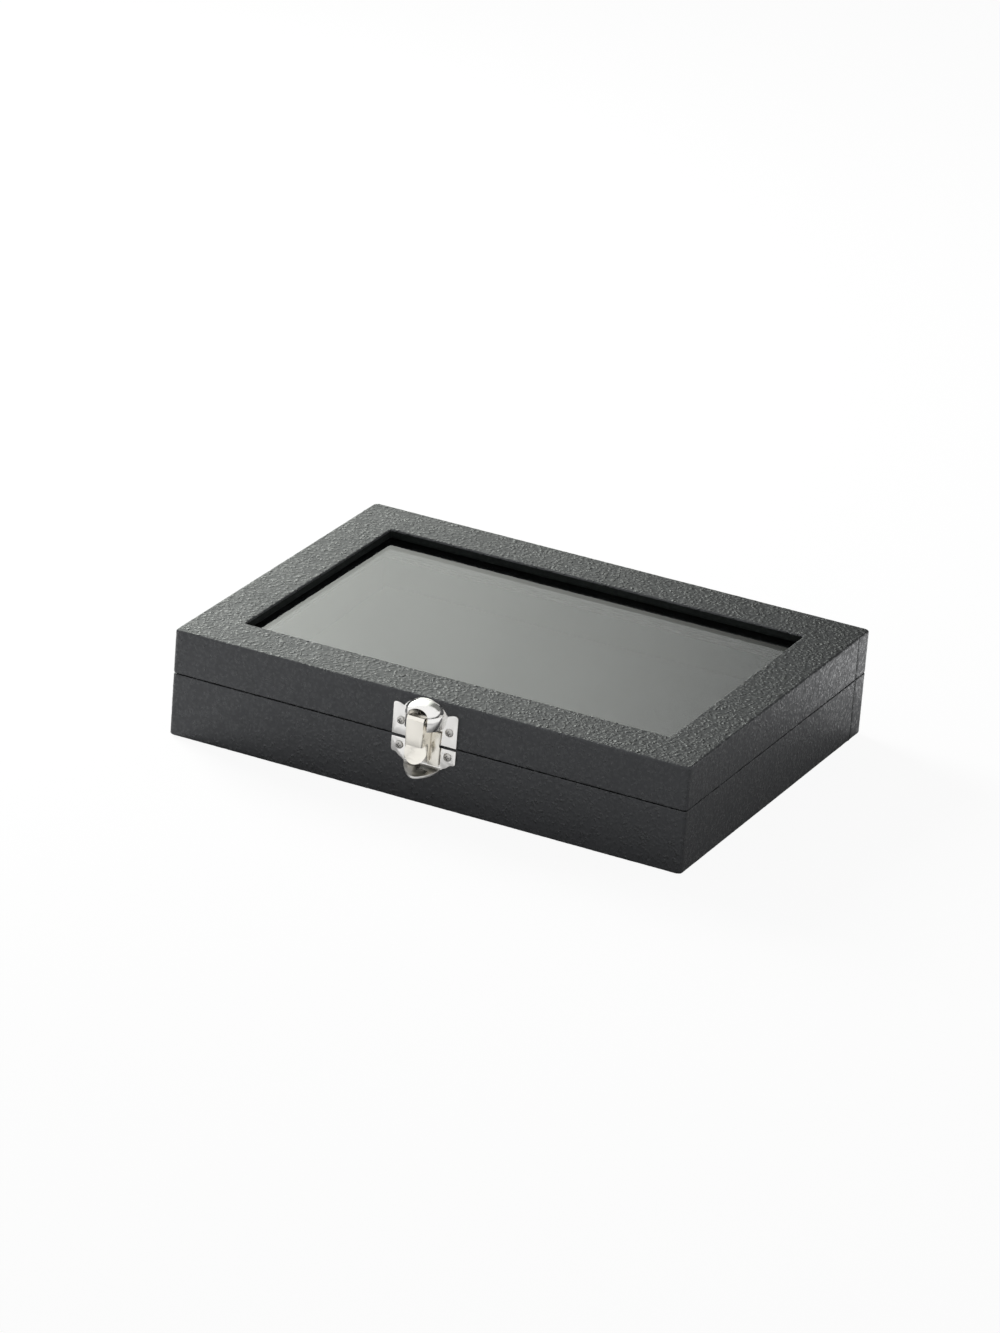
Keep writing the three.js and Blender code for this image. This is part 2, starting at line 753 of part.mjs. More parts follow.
// The tongue from the side, a sheet that hangs down and then curls out into a thumb scoop
function tongueProfile() {
  const top = channelEndRise + haspSheet;
  const frontRoot = -tongueRootDepth;
  const backRoot = haspSheet - tongueRootDepth;
  const shape = new THREE.Shape();
  shape.moveTo(backRoot, top);
  shape.lineTo(frontRoot, top);
  shape.quadraticCurveTo(frontRoot, -tongueBendDrop, -tongueTipDepth, -tongueTipDrop);
  shape.lineTo(haspSheet - tongueTipDepth, -tongueTipDrop);
  shape.quadraticCurveTo(backRoot, -tongueBendDrop, backRoot, top);
  return shape;
}

// The head turns on the pin: two ears, closed in front and above by the brow and open at the back
function haspHead() {
  const inside = channelHalfWidth - haspSheet;
  const outer = alongX(haspHeadProfile(0), -channelHalfWidth, channelHalfWidth, arcSteps);
  const hollow = alongX(haspHeadProfile(haspSheet), -inside, inside, arcSteps);
  const backSpace = block(
    [-inside, -pivotDepth, haspFlangeTopRise - haspSheet],
    [inside, 0, pivotRise + haspEarRadius],
  );
  return outer.subtract(hollow).subtract(backSpace);
}

function latchHasp() {
  const inside = channelHalfWidth - haspSheet;
  const stepTop = channelEndRise + haspSheet;
  const channel = alongZ(
    hatOutline(channelHalfWidth, channelDepth, haspFlangeHalfWidth),
    channelEndRise, haspFlangeTopRise,
  );
  const catchCover = alongZ(
    hatOutline(channelHalfWidth, catchCoverDepth, haspFlangeHalfWidth),
    -catchCoverEndDrop, stepTop,
  );
  const step = block(
    [-inside - haspSheet / 2, -channelDepth + haspSheet / 2, channelEndRise],
    [inside + haspSheet / 2, -catchCoverDepth + haspSheet, stepTop],
  );
  const flangeTails = [-1, 1].map((sign) => {
    const near = sign * inside;
    const far = sign * haspFlangeHalfWidth;
    return block(
      [Math.min(near, far), -haspBack - haspSheet, -haspFlangeBottomDrop],
      [Math.max(near, far), -haspBack, haspSheet - catchCoverEndDrop],
    );
  });
  const tongueSheet = alongX(tongueProfile(), -tongueHalfWidth, tongueHalfWidth, arcSteps);
  const tongue = alongY(tongueOutline(), -tongueTipDepth, 0, arcSteps).intersect(tongueSheet);
  const bore = barAlongX(
    latchPinRadius + boreClearance,
    -channelHalfWidth - cutOverrun, channelHalfWidth + cutOverrun,
    -pivotDepth, pivotRise,
  );
  let solid = haspHead().add(channel).add(catchCover).add(step).add(tongue);
  for (const tail of flangeTails) {
    solid = solid.add(tail);
  }
  return solid.subtract(bore);
}

// The pin spans the hood, and its ends stand a fit gap short of the hood's inner wall
function latchPin() {
  const hollowDepth = hoodDepth - plateThickness;
  const depth = (pivotDepth + latchPinRadius) / hollowDepth;
  const halfLength = (hoodHalfWidth - plateThickness) * Math.sqrt(1 - depth ** 2) - fitGap;
  return barAlongX(latchPinRadius, -halfLength, halfLength, -pivotDepth, pivotRise, 2 * arcSteps);
}

// Hinges, in a group whose y = 0 is the back face, z = 0 the middle of the seam, x = 0 the hinge

const axisOffset = knuckleRadius + fitGap;
const knuckleWidth = (hingeWidth - 2 * fitGap) / 3;
const knuckleClearance = knuckleRadius + fitGap;

// A leaf that stands up from the axis, with rounded outer corners
function leafSheet(direction) {
  const low = direction > 0 ? 0 : -leafHeight;
  const high = direction > 0 ? leafHeight : 0;
  const lowRadius = direction > 0 ? 0 : leafCornerRadius;
  const highRadius = direction > 0 ? leafCornerRadius : 0;
  const outline = roundedRectangle(-hingeWidth / 2, low, hingeWidth / 2, high, lowRadius, highRadius);
  return alongY(outline, 0, leafThickness);
}

function leafHoles(height) {
  const radius = screwShankRadius + boreClearance;
  const holes = [-hingeScrewOffset, hingeScrewOffset].map(
    (x) => barAlongY(radius, -cutOverrun, leafThickness + cutOverrun, x, height),
  );
  return wasm.Manifold.union(holes);
}

// Where the other leaf's knuckle turns, the sheet is cut back
function knuckleRelief(left, right) {
  return block(
    [left - fitGap, -cutOverrun, -knuckleClearance],
    [right + fitGap, leafThickness + cutOverrun, knuckleClearance],
  );
}

const pinBore = barAlongX(
  hingePinRadius + boreClearance, -hingeWidth, hingeWidth, axisOffset, 0, 2 * arcSteps,
);

function hingeBaseLeaf() {
  const inner = knuckleWidth / 2 + fitGap;
  const outer = hingeWidth / 2;
  return leafSheet(-1)
    .add(barAlongX(knuckleRadius, -outer, -inner, axisOffset, 0))
    .add(barAlongX(knuckleRadius, inner, outer, axisOffset, 0))
    .subtract(knuckleRelief(-knuckleWidth / 2, knuckleWidth / 2))
    .subtract(leafHoles(-hingeScrewRise))
    .subtract(pinBore);
}

// The middle knuckle carries the stop heel, which lands on the base leaf when the lid is open
function hingeLidLeaf() {
  const inner = knuckleWidth / 2;
  const outer = hingeWidth / 2 + cutOverrun;
  const heelTip = axisOffset + stopHeelLength;
  const heel = block([-inner, axisOffset, 0], [inner, heelTip, stopHeelThickness]);
  return leafSheet(1)
    .subtract(knuckleRelief(inner + fitGap * 2, outer))
    .subtract(knuckleRelief(-outer, -inner - fitGap * 2))
    .add(barAlongX(knuckleRadius, -inner, inner, axisOffset, 0))
    .add(heel)
    .subtract(leafHoles(hingeScrewRise))
    .subtract(pinBore);
}

function hingePin() {
  const end = hingeWidth / 2 + fitGap;
  const head = end + hingePinHeadHeight;
  return barAlongX(hingePinRadius, -end, end, axisOffset, 0, 2 * arcSteps)
    .add(barAlongX(hingePinHeadRadius, -head, -end, axisOffset, 0, 2 * arcSteps))
    .add(barAlongX(hingePinHeadRadius, end, head, axisOffset, 0, 2 * arcSteps));
}

// The whole tray

function addPiece(group, name, geometry, material) {
  const mesh = new THREE.Mesh(geometry, material);
  mesh.name = name;
  group.add(mesh);
  return mesh;
}

function addSolids(group, solids, makeMaterial) {
  for (const [name, solid] of Object.entries(solids)) {
    addPiece(group, name, toGeometry(solid), makeMaterial());
  }
}

function trayGroup() {
  const group = new THREE.Group();
  const boards = trayBoards();
  const wrap = trayWrap(boards);
  const coverX = outerHalfX - underCoverInset;
  const coverY = outerHalfY - underCoverInset;
  for (const name of Object.keys(boards)) {
    boards[name] = boards[name].subtract(pilots);
  }
  const liningTop = trayTop - liningReveal;
  addSolids(group, boards, fibreboard);
  addSolids(group, { base_leatherette_wrap: wrap }, leatherette);
  addSolids(group, {
    base_floor_panel: block([-innerHalfX, -innerHalfY, trayBottom], [innerHalfX, innerHalfY, floorTop]),
  }, fibreboard);
  addSolids(group, {
    base_underside_cover: block([-coverX, -coverY, 0], [coverX, coverY, underCoverThickness]),
  }, card);
  addSolids(group, {
    base_lining_floor: block(
      [-innerHalfX, -innerHalfY, floorTop], [innerHalfX, innerHalfY, floorLiningTop],
    ),
    ...liningStrips(stripNames('base'), liningThickness, floorLiningTop, liningTop),
  }, velvet);
  addSolids(group, {
    pad_board: block([-padHalfX, -padHalfY, floorLiningTop], [padHalfX, padHalfY, padBoardTop]),
  }, card);
  addSolids(group, { pad_velvet_cushion: padFoam() }, velvet);
  return group;
}

function lidGroup() {
  const group = new THREE.Group();
  const boards = lidBoards();
  const rails = topRails();
  const wrap = lidWrap(boards, rails);
  for (const name of Object.keys(boards)) {
    boards[name] = boards[name].subtract(pilots);
  }
  const liningLow = lidBottom + lidLiningReveal;
  addSolids(group, { ...boards, ...rails }, fibreboard);
  addSolids(group, { lid_leatherette_wrap: wrap }, leatherette);
  addSolids(group, { lid_glass_pane: glassPane() }, glass);
  addSolids(group, liningStrips(stripNames('lid'), lidLiningThickness, liningLow, glassBottom), velvet);
  return group;
}

function latchGroup() {
  const group = new THREE.Group();
  group.position.set(0, frontFace, seamMiddle);
  addSolids(group, {
    latch_lid_plate: latchLidPlate(),
    latch_base_plate: latchBasePlate(),
    latch_hasp: latchHasp(),
  }, nickel);
  addSolids(group, { latch_pin: latchPin() }, steel);
  for (const { name: level, height } of latchLevels) {
    for (const { name: side, sign } of sides) {
      const screw = addPiece(group, `latch_screw_${level}_${side}`, screwGeometry, nickel());
      screw.position.set(sign * latchScrewOffset, -plateThickness, height - seamMiddle);
    }
  }
  return group;
}

function hingeGroup({ name: hingeSide, sign }) {
  const group = new THREE.Group();
  group.position.set((sign * hingeSpacing) / 2, backFace, seamMiddle);
  addSolids(group, {
    [`hinge_${hingeSide}_base_leaf`]: hingeBaseLeaf(),
    [`hinge_${hingeSide}_lid_leaf`]: hingeLidLeaf(),
  }, nickel);
  addSolids(group, { [`hinge_${hingeSide}_pin`]: hingePin() }, steel);
  for (const { name: level, height } of hingeLevels) {
    for (const { name: side, sign: screwSign } of sides) {
      const name = `hinge_${hingeSide}_${level}_screw_${side}`;
      const screw = addPiece(group, name, screwGeometry, nickel());
      screw.position.set(screwSign * hingeScrewOffset, leafThickness, height - seamMiddle);
      screw.rotation.z = Math.PI;
    }
  }
  return group;
}

const displayTray = new THREE.Group();
displayTray.add(trayGroup(), lidGroup(), latchGroup(), ...sides.map(hingeGroup));

export default displayTray;
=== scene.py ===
# %% [markdown]
# # A jewelry display tray with a glass topped lid
#
# The object is a shallow case for rings and pins: a board tray and a board lid, both wrapped in
# black pebble grained leatherette, with a pane of glass in the lid, a nickel hasp latch in front
# and two small hinges behind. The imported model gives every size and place, and these cells give
# each piece its finish: rounder edges, a real grain, a soft pad and bright metal.

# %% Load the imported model
import json
import math

import bmesh
import bpy
import numpy as np
from mathutils import Matrix, Vector

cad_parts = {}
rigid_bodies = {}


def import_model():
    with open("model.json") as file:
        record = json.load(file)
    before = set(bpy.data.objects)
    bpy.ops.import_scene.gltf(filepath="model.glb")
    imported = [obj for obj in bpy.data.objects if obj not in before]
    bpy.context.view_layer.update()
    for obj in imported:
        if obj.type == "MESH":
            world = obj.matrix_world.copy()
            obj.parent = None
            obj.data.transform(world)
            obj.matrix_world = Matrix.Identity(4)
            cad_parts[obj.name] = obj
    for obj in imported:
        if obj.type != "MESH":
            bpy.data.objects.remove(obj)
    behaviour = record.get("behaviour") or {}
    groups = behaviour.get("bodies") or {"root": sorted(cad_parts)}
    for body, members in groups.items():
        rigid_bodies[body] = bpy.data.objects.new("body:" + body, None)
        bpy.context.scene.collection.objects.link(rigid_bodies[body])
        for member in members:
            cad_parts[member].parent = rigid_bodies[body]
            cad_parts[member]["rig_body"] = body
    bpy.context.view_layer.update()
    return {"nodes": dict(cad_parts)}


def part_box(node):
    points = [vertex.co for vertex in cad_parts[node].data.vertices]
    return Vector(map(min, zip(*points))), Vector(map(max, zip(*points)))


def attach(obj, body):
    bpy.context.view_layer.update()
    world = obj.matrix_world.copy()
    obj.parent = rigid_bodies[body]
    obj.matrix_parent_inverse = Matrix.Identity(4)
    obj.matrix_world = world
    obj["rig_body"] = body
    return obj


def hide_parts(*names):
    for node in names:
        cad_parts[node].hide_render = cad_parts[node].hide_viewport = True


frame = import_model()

MM = 0.001
scene = bpy.context.scene

# %% [markdown]
# ## Node helpers for the finishes
#
# Every finish here is procedural, so it needs no picture file and can be looked at from any
# distance. A finish starts from the standard Principled shader. The helpers below add a texture
# or a sum to its node tree in one line, and they read the object's own coordinates in metres, so
# that a grain of 1.5 mm is written as 1.5 mm.

# %% Node helpers
def new_finish(name):
    """A new material, its node tree and its Principled shader."""
    material = bpy.data.materials.new(name)
    material.use_nodes = True
    tree = material.node_tree
    return material, tree, tree.nodes["Principled BSDF"]


def add_node(tree, kind, settings=None, **inputs):
    """Adds a node, sets its own settings, and fills sockets with values or links."""
    node = tree.nodes.new(kind)
    for name, value in (settings or {}).items():
        setattr(node, name, value)
    for name, value in inputs.items():
        socket = node.inputs[name.replace("_", " ")]
        if isinstance(value, bpy.types.NodeSocket):
            tree.links.new(value, socket)
        else:
            socket.default_value = value
    return node


def object_place(tree):
    """The place of a point on the piece, in metres."""
    return add_node(tree, "ShaderNodeTexCoord").outputs["Object"]


def noise(tree, place, size, detail=2.0, roughness=0.5, distortion=0.0):
    """Soft noise whose blotches are about size metres across."""
    node = add_node(tree, "ShaderNodeTexNoise", Vector=place, Scale=1 / size, Detail=detail,
                    Roughness=roughness, Distortion=distortion)
    return node.outputs["Fac"]


def cells(tree, place, size, feature="SMOOTH_F1"):
    """Distance to the nearest of many scattered points, about size metres apart."""
    node = add_node(tree, "ShaderNodeTexVoronoi", {"feature": feature}, Vector=place, Scale=1 / size,
                    Smoothness=0.35)
    return node.outputs["Distance"]


def ramp(tree, value, stops):
    """Maps a number to grey levels or colours, given as (position, colour) stops."""
    node = add_node(tree, "ShaderNodeValToRGB", Fac=value)
    elements = node.color_ramp.elements
    while len(elements) < len(stops):
        elements.new(1.0)
    for element, (position, colour) in zip(elements, stops):
        element.position = position
        element.color = (*colour, 1.0) if isinstance(colour, tuple) else (colour,) * 3 + (1.0,)
    return node.outputs["Color"]


def arithmetic(tree, operation, first, second):
    """One sum on two numbers."""
    node = add_node(tree, "ShaderNodeMath", {"operation": operation})
    for socket, value in zip(node.inputs, (first, second)):
        if isinstance(value, bpy.types.NodeSocket):
            tree.links.new(value, socket)
        else:
            socket.default_value = value
    return node.outputs["Value"]


def stirred_place(tree, place, size, amount):
    """The place pushed about by noise, so that a pattern laid on it curls."""
    colour = add_node(tree, "ShaderNodeTexNoise", Vector=place, Scale=1 / size).outputs["Color"]
    centred = add_node(tree, "ShaderNodeVectorMath", {"operation": "SUBTRACT"})
    tree.links.new(colour, centred.inputs[0])
    centred.inputs[1].default_value = (0.5, 0.5, 0.5)
    scaled = add_node(tree, "ShaderNodeVectorMath", {"operation": "SCALE"}, Scale=amount)
    tree.links.new(centred.outputs["Vector"], scaled.inputs[0])
    moved = add_node(tree, "ShaderNodeVectorMath", {"operation": "ADD"})
    tree.links.new(place, moved.inputs[0])
    tree.links.new(scaled.outputs["Vector"], moved.inputs[1])
    return moved.outputs["Vector"]


def bump(tree, shader, height, depth):
    """Lets a height drive the shader's normal, with depth as its full relief in metres."""
    node = add_node(tree, "ShaderNodeBump", Height=height, Distance=depth, Strength=1.0)
    tree.links.new(node.outputs["Normal"], shader.inputs["Normal"])


# %% [markdown]
# ## The leatherette finish
#
# Leatherette is a thin plastic film with a pressed grain of small pebbles, each about 1.5 mm
# across, cut by curling creases. Its black is never flat: the crests of the pebbles catch a soft
# grey gloss, and the creases are rougher. Its colour is also a little lighter on the crests and
# darker in the creases, partly the grain's own tone and partly painted highlight and painted shade.
# The grain could be a picture, but scattered cells on a place stirred by noise give the same
# pebbles without any seam at the corners of the case. On the upright faces the film was drawn
# tight over the board, which flattens the grain, so the relief there is a share of the relief on top.

# %% Leatherette
PEBBLE_SIZE = 1.5 * MM
CREASE_SIZE = 2.8 * MM
STIR_SIZE = 3.4 * MM
STIR_AMOUNT = 2.8 * MM
GRAIN_RELIEF = 0.5 * MM
DRAWN_SHARE = 0.22
GLOSS_PATCH_SIZE = 9 * MM
FILM_SPECULAR = 0.78
FILM_TINT = (0.94, 0.965, 1.0, 1.0)


def leatherette_finish():
    material, tree, shader = new_finish("leatherette")
    place = object_place(tree)
    curled = stirred_place(tree, place, STIR_SIZE, STIR_AMOUNT)
    pebbles = ramp(tree, cells(tree, curled, PEBBLE_SIZE), [(0.1, 1.0), (0.62, 0.0)])
    creases = noise(tree, curled, CREASE_SIZE, detail=3.0, distortion=1.2)
    folds = ramp(tree, creases, [(0.40, 1.0), (0.5, 0.25), (0.60, 1.0)])
    grain = arithmetic(tree, "MULTIPLY", pebbles, folds)
    # Partly painted: lighter crests are a painted highlight and darker creases a painted shade, over
    # the grain's own tone.
    colour = ramp(tree, grain, [(0.0, (0.004, 0.004, 0.005)), (1.0, (0.013, 0.014, 0.014))])
    tree.links.new(colour, shader.inputs["Base Color"])
    shader.inputs["Specular IOR Level"].default_value = FILM_SPECULAR
    shader.inputs["Specular Tint"].default_value = FILM_TINT
    crest_gloss = ramp(tree, grain, [(0.0, 0.5), (0.7, 0.2)])
    patches = noise(tree, place, GLOSS_PATCH_SIZE, detail=3.0)
    uneven = ramp(tree, patches, [(0.3, 0.0), (0.7, 0.07)])
    tree.links.new(arithmetic(tree, "ADD", crest_gloss, uneven), shader.inputs["Roughness"])
    facing = add_node(tree, "ShaderNodeTexCoord").outputs["Normal"]
    upward = add_node(tree, "ShaderNodeSeparateXYZ", Vector=facing).outputs["Z"]
    upward = arithmetic(tree, "ABSOLUTE", upward, 0.0)
    tightness = add_node(tree, "ShaderNodeMapRange", Value=upward, To_Min=DRAWN_SHARE, To_Max=1.0)
    relief = arithmetic(tree, "MULTIPLY", grain, tightness.outputs["Result"])
    bump(tree, shader, relief, GRAIN_RELIEF)
    return material


leatherette = leatherette_finish()
print("leatherette nodes:", len(leatherette.node_tree.nodes))

# %% [markdown]
# ## Bright nickel, satin screws and drawn pins
#
# The latch and the hinges are pressed from thin steel and plated with nickel, a warm, bright
# metal. Plating is smooth but never perfect, so a faint waviness and tiny changes in roughness
# break up its reflections. The slots and the corners where one fold meets another get painted
# shade: the finish asks how open a place is and darkens its colour towards a brownish grey where
# other metal closes it in. The upward faces of the chin under the tongue are painted a dull dark
# grey, as painted shade and painted dark reflection. The hasp's nickel is a little creamier. The
# screws are nickel too, in a darker grey over rougher steel, with painted shade in their recesses,
# and the pins are drawn wire.

# %% Metals
FADE_SHARE = 0.35
WAVE_DEPTH = 0.02 * MM


def metal_finish(name, colour, painted_shade, reach, closed, gloss, wave_size):
    """Plated metal whose colour is painted towards the shade colour where less than the closed share
    is open: painted shade in gaps, slots and corners.
    """
    material, tree, shader = new_finish(name)
    place = object_place(tree)
    # Painted shade: the ambient occlusion darkens the colour towards the shade colour in gaps, slots
    # and corners.
    openness = add_node(tree, "ShaderNodeAmbientOcclusion", Distance=reach).outputs["AO"]
    plating = ramp(tree, openness, [(closed, painted_shade), (min(1.0, closed + FADE_SHARE), colour)])
    tree.links.new(plating, shader.inputs["Base Color"])
    shader.inputs["Metallic"].default_value = 1.0
    patches = noise(tree, place, wave_size, detail=3.0)
    tree.links.new(ramp(tree, patches, [(0.3, gloss[0]), (0.7, gloss[1])]), shader.inputs["Roughness"])
    bump(tree, shader, patches, WAVE_DEPTH)
    return material


# Each metal's painted shade colour is the dark colour of its closed in places.
nickel = metal_finish("bright_nickel", colour=(0.87, 0.86, 0.84), painted_shade=(0.55, 0.52, 0.47),
                      reach=1.0 * MM, closed=0.2, gloss=(0.12, 0.22), wave_size=2.5 * MM)
# A dull dark grey: painted shade and painted dark reflection on the chin's shelf under the tongue.
shaded_shelf_nickel = metal_finish("shaded_shelf_nickel", colour=(0.34, 0.335, 0.32), painted_shade=(0.12, 0.115, 0.11),
                             reach=2.5 * MM, closed=0.3, gloss=(0.24, 0.36), wave_size=2.5 * MM)
hasp_nickel = metal_finish("cream_nickel", colour=(0.89, 0.86, 0.79), painted_shade=(0.42, 0.36, 0.28),
                           reach=1.2 * MM, closed=0.4, gloss=(0.17, 0.25), wave_size=3.5 * MM)
screw_nickel = metal_finish("screw_nickel", colour=(0.52, 0.51, 0.49), painted_shade=(0.05, 0.045, 0.04),
                            reach=1.5 * MM, closed=0.45, gloss=(0.24, 0.38), wave_size=0.8 * MM)
pin_steel = metal_finish("drawn_steel", colour=(0.56, 0.56, 0.55), painted_shade=(0.30, 0.29, 0.27),
                         reach=1.0 * MM, closed=0.2, gloss=(0.25, 0.38), wave_size=0.5 * MM)
metals = (nickel, shaded_shelf_nickel, hasp_nickel, screw_nickel, pin_steel)
print("metals:", [metal.name for metal in metals])

# %% [markdown]
# ## Glass, velvet, card and fibreboard
#
# The pane is clear float glass, faintly green, with the light smears that handling leaves. The
# velvet has a short black pile: pushed one way it looks grey, pushed the other way it looks
# black. That changing sheen is painted into its colour as soft lighter and darker patches: painted
# sheen. Card and fibreboard are fibre seen close up, and speckle enough. The rails of the lid are
# stained black, because their undersides show through the glass when the lid stands open.

# %% Glass
GLASS_TINT = (0.93, 0.965, 0.95, 1.0)
GLASS_IOR = 1.45
SMEAR_SIZE = 40 * MM
PANE_WAVE_SIZE = 24 * MM
PANE_WAVE_DEPTH = 0.03 * MM


def glass_finish():
    material, tree, shader = new_finish("float_glass")
    place = object_place(tree)
    shader.inputs["Base Color"].default_value = GLASS_TINT
    shader.inputs["Transmission Weight"].default_value = 1.0
    shader.inputs["IOR"].default_value = GLASS_IOR
    smears = noise(tree, place, SMEAR_SIZE, detail=2.0, distortion=0.3)
    haze = ramp(tree, smears, [(0.5, 0.0), (0.8, 0.03)])
    tree.links.new(haze, shader.inputs["Roughness"])
    bump(tree, shader, noise(tree, place, PANE_WAVE_SIZE, detail=1.0), PANE_WAVE_DEPTH)
    return material


float_glass = glass_finish()

# %% Velvet
PILE_SIZE = 0.35 * MM
PILE_DEPTH = 0.02 * MM
NAP_SIZE = 22 * MM


def velvet_finish():
    material, tree, shader = new_finish("black_velvet")
    place = object_place(tree)
    pile = noise(tree, place, PILE_SIZE, detail=2.0)
    nap_sheen_patches = noise(tree, place, NAP_SIZE, detail=3.0, distortion=1.5)
    # Painted sheen: the nap patches make the colour lighter and darker in soft patches.
    colour = ramp(tree, nap_sheen_patches, [(0.35, (0.004, 0.004, 0.005)), (0.7, (0.010, 0.010, 0.011))])
    tree.links.new(colour, shader.inputs["Base Color"])
    shader.inputs["Roughness"].default_value = 0.95
    shader.inputs["Sheen Weight"].default_value = 0.03
    shader.inputs["Sheen Roughness"].default_value = 0.4
    shader.inputs["Sheen Tint"].default_value = (0.25, 0.25, 0.27, 1.0)
    shader.inputs["Specular IOR Level"].default_value = 0.02
    bump(tree, shader, pile, PILE_DEPTH)
    return material


black_velvet = velvet_finish()

# %% Card and fibreboard
FIBRE_DEPTH = 0.05 * MM


def fibre_finish(name, dark, light, fibre_size, gloss):
    material, tree, shader = new_finish(name)
    place = object_place(tree)
    fibres = noise(tree, place, fibre_size, detail=6.0, roughness=0.7, distortion=0.6)
    tree.links.new(ramp(tree, fibres, [(0.3, dark), (0.7, light)]), shader.inputs["Base Color"])
    shader.inputs["Roughness"].default_value = gloss
    bump(tree, shader, fibres, FIBRE_DEPTH)
    return material


black_card = fibre_finish("black_card", dark=(0.022, 0.022, 0.024), light=(0.042, 0.042, 0.045),
                          fibre_size=0.9 * MM, gloss=0.85)
fibreboard = fibre_finish("fibreboard", dark=(0.22, 0.14, 0.08), light=(0.44, 0.31, 0.19),
                          fibre_size=0.7 * MM, gloss=0.9)
stained_board = fibre_finish("stained_board", dark=(0.006, 0.006, 0.007), light=(0.018, 0.017, 0.017),
                             fibre_size=0.7 * MM, gloss=0.8)
boards_and_cloth = (black_velvet, black_card, fibreboard, stained_board)
print("soft and board finishes:", [finish.name for finish in boards_and_cloth])

# %% [markdown]
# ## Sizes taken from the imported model
#
# The wrapped shells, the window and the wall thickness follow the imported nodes. Nothing here is
# typed in that the model already knows.

# %% Sizes from the frame
lid_low, lid_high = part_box("lid_leatherette_wrap")
tray_low, tray_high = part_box("base_leatherette_wrap")
half_x, half_y = lid_high.x, lid_high.y
wall = half_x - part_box("base_floor_panel")[1].x
rail_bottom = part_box("lid_front_rail")[0].z
wrap_sheet = lid_high.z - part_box("lid_front_rail")[1].z
window_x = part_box("lid_right_rail")[0].x - wrap_sheet
window_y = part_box("lid_back_rail")[0].y - wrap_sheet
rail_x = half_x - window_x
rail_y = half_y - window_y
joint_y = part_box("base_back_wall")[0].y
print("wall, side rail, end rail in mm:", [round(v / MM, 2) for v in (wall, rail_x, rail_y)])

# %% [markdown]
# ## A wrapped ring
#
# The leatherette goes round a rectangle: up the outside, over the top edge and down into the
# window. One way to model that is a box with bevels, but then the grain has nothing to push
# against. Here a section is drawn as a row of stations and carried round the rectangle as rings
# of evenly spaced points. The result is one closed skin, fine enough to be pressed into a grain.

# %% Section of the skin
SKIN_STEP = 0.62 * MM
SKIN_SHEET = 0.65 * MM
EDGE_RADIUS = 0.75 * MM
SEAM_RADIUS = 0.4 * MM
CORNER_RADIUS = 1.6 * MM
WINDOW_CORNER_RADIUS = 1.0 * MM
TURN_IN_SHEET = 0.15 * MM
JOINT_SINK = 0.2 * MM


def run(start, end, step=SKIN_STEP):
    """Points from start to end, both kept, about a step apart."""
    start, end = np.array(start), np.array(end)
    count = max(1, round(float(np.linalg.norm(end - start)) / step))
    return [tuple(start + (end - start) * index / count) for index in range(count + 1)]


def bend(centre, radius, first_degrees, last_degrees, steps=4):
    """Points on a quarter turn of the section, in inset and height."""
    points = []
    for index in range(steps + 1):
        angle = math.radians(first_degrees + (last_degrees - first_degrees) * index / steps)
        points.append((centre[0] + radius * math.cos(angle), centre[1] + radius * math.sin(angle)))
    return points


def stations(section, extra_x=0.0, extra_y=0.0):
    """Section points (inset, height) as (inset in X, inset in Y, height)."""
    return [(inset + extra_x, inset + extra_y, height) for inset, height in section]


# %% Rings of the skin
def ring(size_x, size_y, corner, steps_x, steps_y, corner_steps=3):
    """Points of a rounded rectangle, anticlockwise from the front left."""
    points = []
    corners = [(1, -1, -90), (1, 1, 0), (-1, 1, 90), (-1, -1, 180)]
    runs = [(steps_x, 0), (steps_y, 1), (steps_x, 0), (steps_y, 1)]
    for (sign_x, sign_y, start), (steps, axis) in zip(corners, runs):
        centre = (sign_x * (size_x - corner), sign_y * (size_y - corner))
        length = (size_x, size_y)[axis] - corner
        for index in range(steps):
            share = -1 + 2 * index / steps
            if axis == 0:
                points.append((-sign_y * share * length, sign_y * size_y))
            else:
                points.append((sign_x * size_x, sign_x * share * length))
        for index in range(corner_steps):
            angle = math.radians(start + 90 * index / corner_steps)
            points.append((centre[0] + corner * math.cos(angle), centre[1] + corner * math.sin(angle)))
    return points


def skin_ring(name, path, corner_of, pressed_count):
    """One closed skin: rings of the path's stations, joined into quads.

    The first pressed_count stations take the grain, the rest are the hidden inner side."""
    steps_x = round(2 * half_x / SKIN_STEP)
    steps_y = round(2 * half_y / SKIN_STEP)
    vertices = []
    for inset_x, inset_y, height in path:
        outline = ring(half_x - inset_x, half_y - inset_y, corner_of(inset_x), steps_x, steps_y)
        vertices.extend((x, y, height) for x, y in outline)
    around = len(vertices) // len(path)
    faces = []
    for level in range(len(path)):
        above = (level + 1) % len(path)
        for index in range(around):
            after = (index + 1) % around
            faces.append((level * around + index, level * around + after,
                          above * around + after, above * around + index))
    mesh = bpy.data.meshes.new(name)
    mesh.from_pydata(vertices, [], faces)
    mesh.validate()
    skin = bpy.data.objects.new(name, mesh)
    bpy.context.scene.collection.objects.link(skin)
    face_out(mesh)
    pressed = skin.vertex_groups.new(name="pressed")
    pressed.add(list(range(around, (pressed_count - 1) * around)), 1.0, "REPLACE")
    for polygon in mesh.polygons:
        polygon.use_smooth = True
    return skin


def face_out(mesh):
    """Turns every face of a closed mesh outwards."""
    work = bmesh.new()
    work.from_mesh(mesh)
    bmesh.ops.recalc_face_normals(work, faces=work.faces)
    work.to_mesh(mesh)
    work.free()


# %% [markdown]
# ## Pressing the grain
#
# The pebbles themselves are left to the shader, but the larger curls and the slight unevenness
# of a hand wrapped board are real relief, because they also roughen the outline of an edge. Two
# Displace modifiers do this: one with stirred noise for the curls, one with broad clouds.

